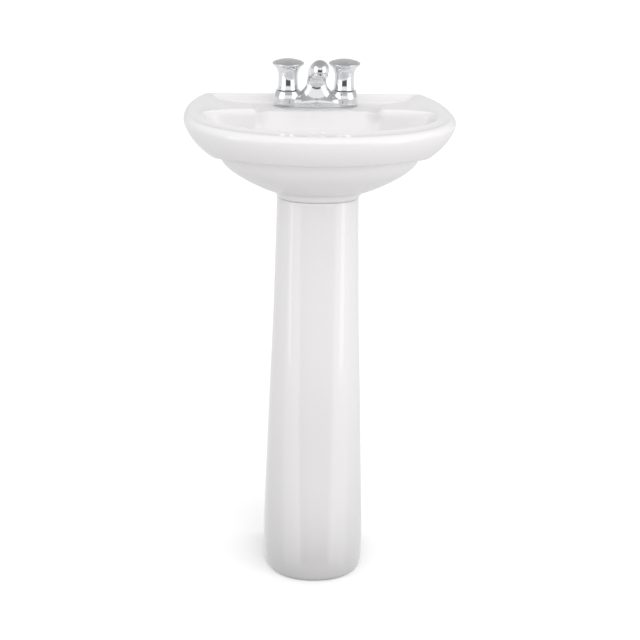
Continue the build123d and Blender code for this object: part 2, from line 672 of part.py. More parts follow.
# seat rings either side of the ball, and the nut that holds them in the port
with BuildPart() as pivot_seals:
    for start in (PIVOT_Y - 7, PIVOT_Y + 4):
        with BuildSketch(Plane.XZ.offset(-start)):
            with Locations((0, PIVOT_Z)):
                Circle(BALL_R + RUN)
                Circle(4.6, mode=Mode.SUBTRACT)
        extrude(amount=-3)
pivot_seals.part.label = "pivot_seals"
export_step(pivot_seals.part, "parts/pivot_seals.step")

with BuildPart() as pivot_nut:
    with BuildSketch(Plane.XZ.offset(-(PIVOT_Y - 3))):
        with Locations((0, PIVOT_Z)):
            RegularPolygon(13.5, 8)
    extrude(amount=-(NUT_WALL_Y - PIVOT_Y + 3))
    with BuildSketch(Plane.XZ.offset(-(PIVOT_Y - 3))):
        with Locations((0, PIVOT_Z)):
            Circle(PORT_R)
    extrude(amount=-(PORT_END_Y - PIVOT_Y + 3), mode=Mode.SUBTRACT)
    with BuildSketch(Plane.XZ.offset(-PIVOT_Y)):
        with Locations((0, PIVOT_Z)):
            Circle(4.8)
    extrude(amount=-20, mode=Mode.SUBTRACT)
pivot_nut.part.label = "pivot_nut"
export_step(pivot_nut.part, "parts/pivot_nut.step")

# Stopper: raised at rest, drops by STOPPER_LIFT to close the drain --------------

STOPPER_SEAT_Z = FLANGE_TOP_Z - 0.5
HEAD_Z = STOPPER_SEAT_Z + STOPPER_LIFT + 1.5
EYE_Z = PIVOT_Z + (PIVOT_Y - DRAIN_Y) * tan(TILT)
with BuildPart() as stopper:
    with BuildSketch(Plane.XZ):
        with BuildLine():
            Polyline((0, HEAD_Z + 6), (0, EYE_Z + 6), (4, EYE_Z + 6), (4, HEAD_Z - 7), (11, HEAD_Z - 3))
            Polyline((11, HEAD_Z - 3), (11, HEAD_Z), (20, HEAD_Z), (20, HEAD_Z + 2))
            Spline((20, HEAD_Z + 2), (12, HEAD_Z + 5), (0, HEAD_Z + 6))
        make_face()
    revolve(axis=Axis.Z)
    with Locations((0, 0, EYE_Z)):
        Box(12, 4, 14)
    with BuildSketch(Plane.XZ.offset(-3)):
        with Locations((0, EYE_Z)):
            Circle(3.6)
    extrude(amount=6, mode=Mode.SUBTRACT)
stopper.part.locate(Location((0, DRAIN_Y, 0)))
stopper.part.label = "stopper"
export_step(stopper.part, "parts/stopper.step")

with BuildPart() as stopper_seal:
    with BuildSketch(Plane.XY.offset(HEAD_Z - 3)):
        with Locations((0, DRAIN_Y)):
            Circle(13.4)
            Circle(11, mode=Mode.SUBTRACT)
    extrude(amount=3)
stopper_seal.part.label = "stopper_seal"
export_step(stopper_seal.part, "parts/stopper_seal.step")


# Waste: tailpiece, trap bend, trap arm, and their slip nuts and washers ---------

ARM_Y = DRAIN_Y + 2 * BEND_R
ARM_R = 32.0
ARM_RISE = 26.0
ARM_Z = BEND_TOP_Z + ARM_RISE + ARM_R
BEND_TUBE_R = 17.6
ARM_END_Y = WALL_Y - 3


def slip_nut(x_y, top):
    """A slip nut around the bend's socket, its collar closing on the tube above."""
    with BuildPart() as nut:
        with BuildSketch(Plane.XY.offset(top - 16)):
            with Locations(x_y):
                RegularPolygon(23.5, 8)
                Circle(BEND_TUBE_R + 1.9, mode=Mode.SUBTRACT)
        extrude(amount=14)
        with BuildSketch(Plane.XY.offset(top - 2)):
            with Locations(x_y):
                Circle(21)
                Circle(TUBE_R, mode=Mode.SUBTRACT)
        extrude(amount=2)
    return nut.part


with BuildPart() as tailpiece:
    with BuildSketch(Plane.XY.offset(TAIL_END_Z)):
        with Locations((0, DRAIN_Y)):
            Circle(DRAIN_BODY_R - 2.2)
            Circle(DRAIN_BODY_R - 3.7, mode=Mode.SUBTRACT)
    extrude(amount=DRAIN_BODY_END_Z + 12 - TAIL_END_Z)
    with BuildSketch(Plane.XY.offset(TAIL_END_Z)):
        with Locations((0, DRAIN_Y)):
            Circle(TUBE_R)
            Circle(DRAIN_BODY_R - 2.2, mode=Mode.SUBTRACT)
    extrude(amount=DRAIN_BODY_END_Z - TAIL_END_Z)
tailpiece.part.label = "tailpiece"
export_step(tailpiece.part, "parts/tailpiece.step")

with BuildPart() as trap_bend:
    with BuildLine() as bend_line:
        inlet = Line((0, DRAIN_Y, BEND_TOP_Z), (0, DRAIN_Y, BEND_TOP_Z - 60))
        low = (0, DRAIN_Y + BEND_R, BEND_TOP_Z - 60 - BEND_R)
        turn = ThreePointArc(inlet @ 1, low, (0, ARM_Y, BEND_TOP_Z - 60))
        Line(turn @ 1, (0, ARM_Y, BEND_TOP_Z))
    with BuildSketch(Plane(inlet @ 0, z_dir=inlet % 0)):
        Circle(BEND_TUBE_R)
        Circle(TUBE_R, mode=Mode.SUBTRACT)
    sweep()
    for y in (DRAIN_Y, ARM_Y):
        with BuildSketch(Plane.XY.offset(BEND_TOP_Z)):
            with Locations((0, y)):
                Circle(BEND_TUBE_R + 1.8)
                Circle(TUBE_R, mode=Mode.SUBTRACT)
        extrude(amount=-22)
trap_bend.part.label = "trap_bend"
export_step(trap_bend.part, "parts/trap_bend.step")

with BuildPart() as trap_arm:
    with BuildLine() as arm_line:
        FilletPolyline((0, ARM_Y, BEND_TOP_Z - 12), (0, ARM_Y, ARM_Z), (0, ARM_END_Y, ARM_Z), radius=ARM_R)
    with BuildSketch(Plane(arm_line.line @ 0, z_dir=arm_line.line % 0)):
        Circle(TUBE_R)
        Circle(TUBE_R - TUBE_WALL, mode=Mode.SUBTRACT)
    sweep()
trap_arm.part.label = "trap_arm"
export_step(trap_arm.part, "parts/trap_arm.step")

trap_inlet_nut = slip_nut((0, DRAIN_Y), BEND_TOP_Z + 5)
trap_inlet_nut.label = "trap_inlet_nut"
export_step(trap_inlet_nut, "parts/trap_inlet_nut.step")

trap_outlet_nut = slip_nut((0, ARM_Y), BEND_TOP_Z + 5)
trap_outlet_nut.label = "trap_outlet_nut"
export_step(trap_outlet_nut, "parts/trap_outlet_nut.step")

with BuildPart() as slip_washers:
    with BuildSketch(Plane.XY.offset(BEND_TOP_Z)):
        with Locations((0, DRAIN_Y), (0, ARM_Y)):
            Circle(BEND_TUBE_R + 1.8)
            Circle(TUBE_R, mode=Mode.SUBTRACT)
    extrude(amount=3)
slip_washers.part.label = "slip_washers"
export_step(slip_washers.part, "parts/slip_washers.step")
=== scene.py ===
import json
import math

import bmesh
import bpy
import numpy as np
from mathutils import Euler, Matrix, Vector

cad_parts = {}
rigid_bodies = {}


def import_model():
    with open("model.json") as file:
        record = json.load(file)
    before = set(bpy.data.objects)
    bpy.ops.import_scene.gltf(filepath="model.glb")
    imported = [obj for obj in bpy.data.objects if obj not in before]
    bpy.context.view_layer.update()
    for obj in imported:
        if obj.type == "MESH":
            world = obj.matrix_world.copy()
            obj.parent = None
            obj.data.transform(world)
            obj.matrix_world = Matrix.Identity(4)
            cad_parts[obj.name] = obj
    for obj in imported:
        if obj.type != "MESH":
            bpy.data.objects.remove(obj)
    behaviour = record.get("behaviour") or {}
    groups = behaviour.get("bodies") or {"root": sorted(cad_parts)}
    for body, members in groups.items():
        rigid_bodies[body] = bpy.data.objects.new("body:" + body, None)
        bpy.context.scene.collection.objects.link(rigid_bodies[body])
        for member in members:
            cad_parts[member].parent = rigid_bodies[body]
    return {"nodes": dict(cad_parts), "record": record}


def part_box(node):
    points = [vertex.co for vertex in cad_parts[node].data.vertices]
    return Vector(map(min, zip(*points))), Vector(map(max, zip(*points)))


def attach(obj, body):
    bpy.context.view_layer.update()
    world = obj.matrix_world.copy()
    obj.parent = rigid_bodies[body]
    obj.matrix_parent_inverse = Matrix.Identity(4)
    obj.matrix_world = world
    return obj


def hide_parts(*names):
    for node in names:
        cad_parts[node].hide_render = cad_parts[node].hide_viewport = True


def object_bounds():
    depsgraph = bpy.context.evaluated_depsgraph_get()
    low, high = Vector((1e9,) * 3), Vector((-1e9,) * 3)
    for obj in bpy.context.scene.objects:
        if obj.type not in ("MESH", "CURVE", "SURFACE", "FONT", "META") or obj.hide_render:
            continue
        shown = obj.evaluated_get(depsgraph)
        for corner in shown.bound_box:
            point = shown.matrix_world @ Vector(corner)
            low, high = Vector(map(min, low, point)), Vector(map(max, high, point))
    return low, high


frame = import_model()
cad_low, cad_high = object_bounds()
nodes = frame["nodes"]

# ---------------------------------------------------------------------------
# The studio: a pale floor that only carries the shadow, a white backdrop, two
# lamps above and ahead, and a tall strip lamp on either side. What the glaze and
# the plating mirror is a drawn room: white boards, a dark gap and a grey ceiling.
# ---------------------------------------------------------------------------

scene = bpy.context.scene
scene.view_settings.view_transform = "Standard"

LENS = 88.05  # millimetres, on a 36 mm wide sensor
STAND_OFF = 2.486  # metres in front of the front rim
EYE_HEIGHT = 1.3867
EYE_LEFT = 0.1773
TURN = math.radians(3.915)  # towards the right
DIP = math.radians(18.772)
ROLL = math.radians(1.1)

camera_data = bpy.data.cameras.new("camera")
camera_data.lens = LENS
camera_data.sensor_width = 36.0
camera = bpy.data.objects.new("camera", camera_data)
scene.collection.objects.link(camera)
camera.location = (-EYE_LEFT, cad_low.y - STAND_OFF, EYE_HEIGHT)
level = Euler((math.pi / 2 - DIP, 0.0, -TURN), "XYZ").to_matrix()
camera.rotation_mode = "QUATERNION"
camera.rotation_quaternion = (level @ Euler((0, 0, ROLL), "XYZ").to_matrix()).to_quaternion()
scene.camera = camera


def material(name):
    """An empty node material: its tree, its Principled shader and its Object coordinates."""
    made = bpy.data.materials.new(name)
    made.use_nodes = True
    tree = made.node_tree
    shader = tree.nodes["Principled BSDF"]
    place = tree.nodes.new("ShaderNodeTexCoord")
    return made, tree, shader, place.outputs["Object"]


def node(tree, kind, inputs=(), **settings):
    """Adds one shader node, sets its properties, and links or fills its inputs."""
    made = tree.nodes.new(kind)
    for key, value in settings.items():
        setattr(made, key, value)
    for key, value in dict(inputs).items():
        if isinstance(value, bpy.types.NodeSocket):
            tree.links.new(value, made.inputs[key])
        else:
            made.inputs[key].default_value = value
    return made


def math_node(tree, operation, first, second=0.0, clamp=False):
    """One Math node's result."""
    made = node(tree, "ShaderNodeMath", {0: first, 1: second}, operation=operation, use_clamp=clamp)
    return made.outputs[0]


world = bpy.data.worlds.new("studio")
scene.world = world
world.use_nodes = True
room = world.node_tree
room.nodes.clear()
direction = node(room, "ShaderNodeTexCoord").outputs["Generated"]
parts = node(room, "ShaderNodeSeparateXYZ", {0: direction})
across, away, upward = parts.outputs[0], parts.outputs[1], parts.outputs[2]
elevation = math_node(room, "ARCSINE", upward)
# bearing from straight in front of the sink, in radians, + to the right
bearing = math_node(room, "ARCTAN2", across, math_node(room, "MULTIPLY", away, -1.0))


def span(value, low, high, soft):
    """1 where value lies between low and high, with soft edges."""
    rise, fall = (
        node(
            room,
            "ShaderNodeMapRange",
            {0: value, 1: edge - soft, 2: edge + soft},
            interpolation_type="SMOOTHSTEP",
        ).outputs[0]
        for edge in (low, high)
    )
    return math_node(room, "MULTIPLY", rise, math_node(room, "SUBTRACT", 1.0, fall))


def laid_over(under, mask, strength):
    """A patch of the room at a given brightness, laid over the rest by its mask."""
    return node(room, "ShaderNodeMix", {"Factor": mask, "A": under, "B": strength}).outputs[0]


# gloss sees a pale floor, a grey room, white boards to both sides and above the front,
# and the dark gap between the boards where the work is watched from
ceiling = node(room, "ShaderNodeMapRange", {0: elevation, 1: 0.0, 2: 1.0, 3: 0.62, 4: 0.42})
under_foot = span(elevation, -2.0, -0.02, 0.03)
reflected = laid_over(ceiling.outputs[0], under_foot, 0.86)
front = span(bearing, -1.55, 1.55, 0.08)
above = math_node(room, "MULTIPLY", front, span(elevation, -0.05, 0.44, 0.06))
reflected = laid_over(reflected, above, 0.95)
for low, high in ((-1.42, -0.54), (0.54, 1.42)):
    board = math_node(room, "MULTIPLY", span(bearing, low, high, 0.04), span(elevation, -0.62, 0.60, 0.04))
    reflected = laid_over(reflected, board, 1.25)
gap = math_node(room, "MULTIPLY", span(bearing, -0.50, 0.46, 0.05), span(elevation, -0.60, 0.03, 0.03))
reflected = laid_over(reflected, gap, 0.10)

# matt surfaces are lit from all round, more from above and a little from the right
overall = node(room, "ShaderNodeMapRange", {0: upward, 1: 0.0, 2: 1.0, 3: 0.84, 4: 1.22})
beneath = laid_over(overall.outputs[0], span(upward, -2.0, -0.02, 0.03), 0.95)
sideways = math_node(room, "MULTIPLY", across, 0.09)
lit = math_node(room, "ADD", beneath, sideways)
path = node(room, "ShaderNodeLightPath")
seen_in_gloss = node(room, "ShaderNodeMix", {"Factor": path.outputs["Is Glossy Ray"], "A": lit, "B": reflected})
shown = node(
    room,
    "ShaderNodeMix",
    {"Factor": path.outputs["Is Camera Ray"], "A": seen_in_gloss.outputs[0], "B": 1.0},
)
backdrop = node(room, "ShaderNodeBackground", {"Color": shown.outputs[0], "Strength": 1.0})
room_out = node(room, "ShaderNodeOutputWorld")
room.links.new(backdrop.outputs[0], room_out.inputs["Surface"])


def softbox(name, bearing, distance, foot, size, power):
    """An area lamp facing the sink, its lower edge foot above the floor, bearing in degrees from the front."""
    data = bpy.data.lights.new(name, "AREA")
    data.shape = "RECTANGLE"
    data.size, data.size_y = size
    data.energy = power
    lamp = bpy.data.objects.new(name, data)
    scene.collection.objects.link(lamp)
    angle = math.radians(bearing)
    lamp.location = (distance * math.sin(angle), -distance * math.cos(angle), foot + size[1] / 2)
    lamp.rotation_mode = "QUATERNION"
    lamp.rotation_quaternion = Euler((math.pi / 2, 0, angle), "XYZ").to_quaternion()
    return lamp


top_light = softbox("top_light", 25.0, 1.0, 2.3, (1.3, 0.9), 3.5)
top_light.rotation_quaternion = (Vector((0, 0, 0.8)) - top_light.location).to_track_quat("-Z", "Y")
top_light.visible_glossy = False
front_light = softbox("front_light", 8.0, 2.6, 1.5, (1.6, 0.9), 8.0)
front_light.rotation_quaternion = (Vector((0, 0, 0.7)) - front_light.location).to_track_quat("-Z", "Y")
front_light.visible_glossy = False
softbox("left_strip", -64.0, 1.9, 0.0, (0.42, 2.1), 3.0)
softbox("right_strip", 52.0, 1.9, 0.0, (0.50, 2.1), 4.5)


def finish_mesh(name, points, faces, smooth=True):
    """A mesh object at the origin from an array of points and an array of quads or triangles."""
    mesh = bpy.data.meshes.new(name)
    mesh.from_pydata(np.asarray(points, float).reshape(-1, 3).tolist(), [], np.asarray(faces).tolist())
    mesh.validate()
    mesh.update()
    mesh.polygons.foreach_set("use_smooth", np.full(len(mesh.polygons), smooth))
    piece = bpy.data.objects.new(name, mesh)
    scene.collection.objects.link(piece)
    return piece


def paint(piece, finish):
    """Gives a piece its one material."""
    piece.data.materials.clear()
    piece.data.materials.append(finish)


def sheet(name, half, height):
    """A flat square face, centred on the origin."""
    corners = [(-half, -half, height), (half, -half, height), (half, half, height), (-half, half, height)]
    return finish_mesh(name, corners, [(0, 1, 2, 3)])


FLOOR_HALF = 14.0
MAT_HALF = 0.5
MAT_Z = -0.0005
floor = sheet("floor", FLOOR_HALF, 0)
floor_paint, floor_tree, floor_shader, floor_place = material("pale_floor")
floor_shader.inputs["Roughness"].default_value = 0.9
floor_shader.inputs["Specular IOR Level"].default_value = 0.0
cloud = node(floor_tree, "ShaderNodeTexNoise", {"Vector": floor_place, "Scale": 1.3, "Detail": 3.0})
tone = node(
    floor_tree,
    "ShaderNodeMix",
    {"Factor": cloud.outputs["Fac"], "A": (0.97, 0.97, 0.97, 1), "B": (1.0, 1.0, 1.0, 1)},
    data_type="RGBA",
)
floor_tree.links.new(tone.outputs["Result"], floor_shader.inputs["Base Color"])
paint(floor, floor_paint)

# a dark mat under the floor, met only by scattered light, takes some light off the foot
mat = sheet("dark_mat", MAT_HALF, MAT_Z)
mat_paint, mat_tree, mat_shader, mat_place = material("dark_mat")
weave = node(mat_tree, "ShaderNodeTexNoise", {"Vector": mat_place, "Scale": 30.0})
shade = node(mat_tree, "ShaderNodeMapRange", {0: weave.outputs["Fac"], 3: 0.15, 4: 0.25})
mat_tree.links.new(shade.outputs[0], mat_shader.inputs["Base Color"])
paint(mat, mat_paint)
for sight in ("visible_camera", "visible_glossy", "visible_shadow", "visible_transmission"):
    setattr(mat, sight, False)

# the pale room below the horizon lights the sink, so the floor only carries its shadow
floor.visible_diffuse = False
floor.visible_glossy = False


# ---------------------------------------------------------------------------
# The basin: one slip-cast piece of vitreous china, fired under a white glaze.
# A D-shaped rim band curls in over the belly, the faucet deck sinks between two
# horns of the rim, and the back is flat against the wall over a hollow deck.
# ---------------------------------------------------------------------------

MM = 0.001
HALF_WIDTH = 237.3
WIDEST_Y = 7  # the widest line, just behind the middle
FRONT_Y = -202
RIM_Z = 848.5
CREST_Z = 840.0  # the rim band is widest here
DECK_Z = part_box("base_gasket")[0].z / MM
LEDGE_SIDE_Z = 771.0
LEDGE_FRONT_Z = 795.0
FOOT_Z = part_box("pedestal")[1].z / MM
DRAIN_Y = -13.0
DRAIN_BORE_R = 22.5
DRAIN_SEAT_R = 31
OVERFLOW_Z = 815
OVERFLOW_R = 9
WALL_BOLT_X = 140
WALL_BOLT_Z = 800
WALL_BOLT_R = 7
BOWL_FLOOR_Z = 725.0
UNDER_Z = 713.0
WALL_Y = cad_high.y / MM
SIDE_STEPS, BACK_STEPS, FRONT_STEPS = 52, 116, 216
AROUND = 2 * SIDE_STEPS + BACK_STEPS + FRONT_STEPS


def fair(stations, values, at):
    """A natural cubic spline through values at stations, worked out at the points in at."""
    stations, values, at = (np.asarray(a, float) for a in (stations, values, at))
    gap = np.diff(stations)
    slope = np.diff(values) / gap
    count = len(stations)
    system = np.eye(count)
    inner = np.arange(1, count - 1)
    system[inner, inner - 1] = gap[:-1]
    system[inner, inner] = 2 * (gap[:-1] + gap[1:])
    system[inner, inner + 1] = gap[1:]
    right = np.zeros(count)
    right[1:-1] = 6 * np.diff(slope)
    bend = np.linalg.solve(system, right)
    k = np.clip(np.searchsorted(stations, at) - 1, 0, count - 2)
    a, b = stations[k + 1] - at, at - stations[k]
    h = gap[k]
    cubic = (bend[k] * a**3 + bend[k + 1] * b**3) / (6 * h)
    return cubic + (values[k] / h - bend[k] * h / 6) * a + (values[k + 1] / h - bend[k + 1] * h / 6) * b


def smoothstep(value, low, high):
    """0 below low, 1 above high, easing in and out between them."""
    t = np.clip((value - low) / (high - low), 0.0, 1.0)
    return t * t * (3 - 2 * t)


def column(value):
    """A row value, as a column that broadcasts over a ring."""
    return np.asarray(value, float).reshape(-1, 1)


def shares(count):
    """Shares of one stretch of a ring: 0 up to but not including 1."""
    return np.arange(count) / count


# every ring runs: right side from the widest line to the back corner, back edge to the left,
# left side forward to the widest line, then round the front to the right again
side_share = shares(SIDE_STEPS)
back_share = shares(BACK_STEPS)
front_angle = np.pi * (1 + shares(FRONT_STEPS))
CORNER = 0.30 * np.pi  # where a round ring stands opposite the back corners
round_angle = np.concatenate(
    [
        CORNER * side_share,
        CORNER + (np.pi - 2 * CORNER) * back_share,
        np.pi - CORNER + CORNER * side_share,
        front_angle,
    ]
)
backness = np.concatenate(
    [
        smoothstep(side_share, 0.75, 1.0),
        np.ones(BACK_STEPS),
        smoothstep(1 - side_share, 0.75, 1.0),
        np.zeros(FRONT_STEPS),
    ]
)


def power_curve(angle, power):
    """cos and sin of a superellipse: each raised to 2 / power, keeping its sign."""
    across = np.sign(np.cos(angle)) * np.abs(np.cos(angle)) ** (2 / power)
    forward = np.sign(np.sin(angle)) * np.abs(np.sin(angle)) ** (2 / power)
    return across, forward


def d_ring(half, widest_y, front_y, back_y, back_half, power=2.5, ease=2.5):
    """A D in plan: straight back, sides that ease out by (share of the way back) ** ease, superellipse front."""
    values = np.broadcast_arrays(*map(column, (half, widest_y, front_y, back_y, back_half)))
    half, widest_y, front_y, back_y, back_half = values
    right_x = half - (half - back_half) * side_share**ease
    right_y = widest_y + (back_y - widest_y) * side_share
    back_x = back_half * (1 - 2 * back_share)
    left_share = 1 - side_share
    left_x = -(half - (half - back_half) * left_share**ease)
    left_y = widest_y + (back_y - widest_y) * left_share
    across, forward = power_curve(front_angle, column(power))
    front_x = half * across
    front_line = widest_y + (widest_y - front_y) * forward
    x = np.concatenate([right_x, back_x, left_x, front_x], axis=1)
    y = np.concatenate([right_y, back_y + 0 * back_x, left_y, front_line], axis=1)
    return x, y


def round_ring(half, middle_y, front_y, back_y, front_power, back_power):
    """A ring of two superellipse halves, front and back, of the same width."""
    half, middle_y, front_y, back_y = np.broadcast_arrays(*map(column, (half, middle_y, front_y, back_y)))
    behind = round_angle < np.pi
    power = np.where(behind, column(back_power), column(front_power))
    across, forward = power_curve(round_angle, power)
    depth = np.where(behind, back_y - middle_y, middle_y - front_y)
    return half * across, middle_y + depth * forward


def ring(plan, height):
    """Stacks a plan ring (x, y) and its height into an array of rows of points."""
    x, y = plan
    return np.stack([x, y, height + 0 * x], axis=-1)


def between(first, second, rows, shape=None):
    """Rows from one ring towards another, the first included; shape bends the shares."""
    share = np.arange(rows) / rows
    share = column(share if shape is None else shape(share))[..., None]
    return first * (1 - share) + second * share


def deck_height(x, y):
    """Height of the top: the rim's height, sunk to the deck between the horns and in front of the back lip."""
    edge = 108 + 62 * smoothstep(y, 88, 143) + 17 * np.clip((y - 140) / 56, 0, 1.3)
    horn = np.maximum(smoothstep(np.abs(x) - edge, -8, 8), 1 - smoothstep(y, 34, 56))
    lip = smoothstep(y, 183, 191)
    return DECK_Z + (RIM_Z - DECK_Z) * (1 - (1 - horn) * (1 - lip))


def deck_mouth(x):
    """How much further back the bowl reaches between the tips of the horns."""
    return 31 * smoothstep(116 - np.abs(x), 0, 30) + 4 * np.clip(1 - (x / 75) ** 2, 0, 1)


# bowl stations, from the floor up: height, half width, middle line, front, back
BOWL_Z = [725, 731, 742, 768, 797, 822, 843]
BOWL_HALF = [45, 84, 113, 147, 173, 192, 202]
BOWL_MIDDLE = [-13, -14, -14, -12, -9, -6, -5]
BOWL_FRONT = [-50, -72, -92, -116, -130, -137, -140]
BOWL_BACK = [22, 28, 33, 38, 40, 42, 43]
bowl_rows = 52
bowl_z = BOWL_FLOOR_Z + (BOWL_Z[-1] - BOWL_FLOOR_Z) * np.linspace(0, 1, bowl_rows) ** 1.35
bowl_plan = round_ring(
    fair(BOWL_Z, BOWL_HALF, bowl_z),
    fair(BOWL_Z, BOWL_MIDDLE, bowl_z),
    fair(BOWL_Z, BOWL_FRONT, bowl_z),
    fair(BOWL_Z, BOWL_BACK, bowl_z),
    np.interp(bowl_z, [725, 760, 843], [2.0, 2.1, 2.05]),
    np.interp(bowl_z, [725, 760, 843], [2.2, 3.4, 3.5]),
)
bowl_x, bowl_y = bowl_plan
mouth_fade = smoothstep(column(bowl_z), 795, 841) ** 1.5
bowl_y = bowl_y + deck_mouth(bowl_x) * mouth_fade * (round_angle < np.pi)
# the wall leans out to the deck's lower edge between the horns
bowl_top = np.minimum(column(bowl_z), deck_height(bowl_x, bowl_y) - 1.5)
bowl = np.stack([bowl_x, bowl_y, bowl_top], axis=-1)

edge_x, edge_y = bowl_x[-1:], bowl_y[-1:]
rim_inner = np.stack([edge_x * 1.012, edge_y + 3 * np.sign(edge_y + 5), 0 * edge_x], axis=-1)
ridge = ring(d_ring(227, 5, -186, 197, 197, 2.2, 2.7), RIM_Z)
outline = ring(d_ring(HALF_WIDTH, WIDEST_Y, FRONT_Y, WALL_Y, 203, 2.2), CREST_Z)

top_rows = 44
top = between(rim_inner, ridge, top_rows)
dish = 1.2 * column(np.sin(np.pi * np.arange(top_rows) / top_rows)) * (1 - backness)
top[..., 2] = deck_height(top[..., 0], top[..., 1]) - dish

roll_rows = 14
roll_angle = column(np.linspace(0, np.pi / 2, roll_rows, endpoint=False))[..., None]
roll = ridge + (outline - ridge) * np.sin(roll_angle)
roll[..., 2] = CREST_Z + (ridge[..., 2] - CREST_Z) * np.cos(roll_angle[..., 0])

# the band curls in by a superellipse quarter as it drops to the ledge
BAND_DROP = 69.0
BAND_TUCK = 70.0
BAND_POWER = 1.5
band_rows = 26
outline_x, outline_y = outline[..., 0], outline[..., 1]
ledge_z = LEDGE_SIDE_Z + (LEDGE_FRONT_Z - LEDGE_SIDE_Z) * np.clip((10 - outline_y) / 165, 0, 1)
last_angle = np.arcsin(np.clip((CREST_Z - ledge_z) / BAND_DROP, 0, 1) ** (BAND_POWER / 2))
band_angle = column(np.linspace(0, 1, band_rows)) * last_angle
tuck = BAND_TUCK * (1 - np.cos(band_angle) ** (2 / BAND_POWER))
at_back = np.clip((outline_y - WIDEST_Y) / (WALL_Y - WIDEST_Y), 0, 1) ** 2.5
band_x = outline_x * (1 - tuck * (1 - 0.6 * at_back) / HALF_WIDTH)
front_share = 1 - tuck / (WIDEST_Y - FRONT_Y)
band_y = np.where(outline_y < WIDEST_Y, WIDEST_Y + (outline_y - WIDEST_Y) * front_share, outline_y)
band_z = CREST_Z - BAND_DROP * np.sin(band_angle) ** (2 / BAND_POWER)
band = np.stack([band_x, band_y, band_z], axis=-1)

# belly stations: height, half width, front
BELLY_Z = [713, 727, 745, 767, 800]
BELLY_HALF = [81, 111, 143, 170, 178]
BELLY_FRONT = [-58, -86, -114, -138, -151]
BELLY_BACK_Y = 98.0
belly_rows = 30
belly_z = np.linspace(796, 716, belly_rows)
belly_half = fair(BELLY_Z, BELLY_HALF, belly_z)
belly = ring(
    d_ring(belly_half, 2, fair(BELLY_Z, BELLY_FRONT, belly_z), BELLY_BACK_Y, 0.8 * belly_half, 2.2),
    column(belly_z),
)
belly[..., 2] = np.minimum(belly[..., 2], ledge_z + 1)


def foot_ring(half, height):
    """The round foot that stands on the pedestal."""
    return ring(d_ring(half, 25, 22 - half, BELLY_BACK_Y, 0.85 * half, 2.7), height)


foot_top = foot_ring(80, FOOT_Z + 15)
foot_side = foot_ring(79, FOOT_Z + 9)
foot_low = foot_ring(73.5, FOOT_Z)
foot_in = foot_ring(61, FOOT_Z)
foot_roof = foot_ring(61, UNDER_Z)


def drain_ring(radius, height):
    """A circle round the drain."""
    x = radius * np.cos(round_angle)
    y = DRAIN_Y + radius * np.sin(round_angle)
    return np.stack([x, y, height + 0 * x], axis=-1)[None]


strips = [
    between(drain_ring(DRAIN_BORE_R, UNDER_Z), drain_ring(DRAIN_BORE_R, BOWL_FLOOR_Z - 1), 4),
    between(drain_ring(DRAIN_BORE_R, BOWL_FLOOR_Z - 1), drain_ring(DRAIN_SEAT_R, BOWL_FLOOR_Z - 1), 3),
    between(drain_ring(DRAIN_SEAT_R, BOWL_FLOOR_Z - 1), bowl[:1], 4),
    bowl,
    top,
    roll,
    band,
    between(band[-1:], belly[:1], 6)[1:],
    belly,
    between(foot_top, foot_side, 2),
    between(foot_side, foot_low, 4),
    between(foot_low, foot_in, 4),
    between(foot_in, foot_roof, 3),
    between(foot_roof, drain_ring(DRAIN_BORE_R, UNDER_Z), 10),
]
surface = np.concatenate(strips, axis=0)


def soften(rows, times):
    """Rounds a closed stack of rings: each point moves towards its neighbours, both ways round."""
    for _ in range(times):
        rows = 0.5 * rows + 0.25 * (np.roll(rows, 1, 0) + np.roll(rows, -1, 0))
        rows = 0.6 * rows + 0.2 * (np.roll(rows, 1, 1) + np.roll(rows, -1, 1))
    return rows


def torus_faces(rows, columns):
    """Quads of a grid that closes on itself both ways."""
    r, c = np.meshgrid(np.arange(rows), np.arange(columns), indexing="ij")
    r2, c2 = (r + 1) % rows, (c + 1) % columns
    corners = (r * columns + c, r * columns + c2, r2 * columns + c2, r2 * columns + c)
    return np.stack(corners, axis=-1).reshape(-1, 4)


surface = soften(surface, 2)
basin = finish_mesh("basin_china", surface * MM, torus_faces(*surface.shape[:2]))


def prism(plan, low, high):
    """A closed solid over a convex plan outline, from low to high, in millimetres."""
    plan = np.asarray(plan, float)
    count = len(plan)
    levels = [np.column_stack([plan, np.full(count, z)]) for z in (low, high)]
    sides = [(i, (i + 1) % count, (i + 1) % count + count, i + count) for i in range(count)]
    mesh = bpy.data.meshes.new("cutter")
    caps = [tuple(range(count))[::-1], tuple(range(count, 2 * count))]
    mesh.from_pydata((np.concatenate(levels) * MM).tolist(), [], sides + caps)
    piece = bpy.data.objects.new("cutter", mesh)
    scene.collection.objects.link(piece)
    return piece


def disc(x, y, radius, low, high, sides=48):
    """A closed upright cylinder, in millimetres."""
    turn = 2 * np.pi * shares(sides)
    return prism(np.column_stack([x + radius * np.cos(turn), y + radius * np.sin(turn)]), low, high)


def lying_disc(x, z, radius, front, back, sides=40):
    """A closed cylinder along Y, in millimetres."""
    piece = disc(0, 0, radius, front, back, sides)
    points = np.array([tuple(v.co) for v in piece.data.vertices])
    turned = np.column_stack([points[:, 0] + x * MM, points[:, 2], z * MM - points[:, 1]])
    piece.data.vertices.foreach_set("co", turned.ravel())
    return piece


def box_cut(low, high):
    """A closed box between two corners, in millimetres."""
    (x0, y0, z0), (x1, y1, z1) = low, high
    return prism([(x0, y0), (x1, y0), (x1, y1), (x0, y1)], z0, z1)


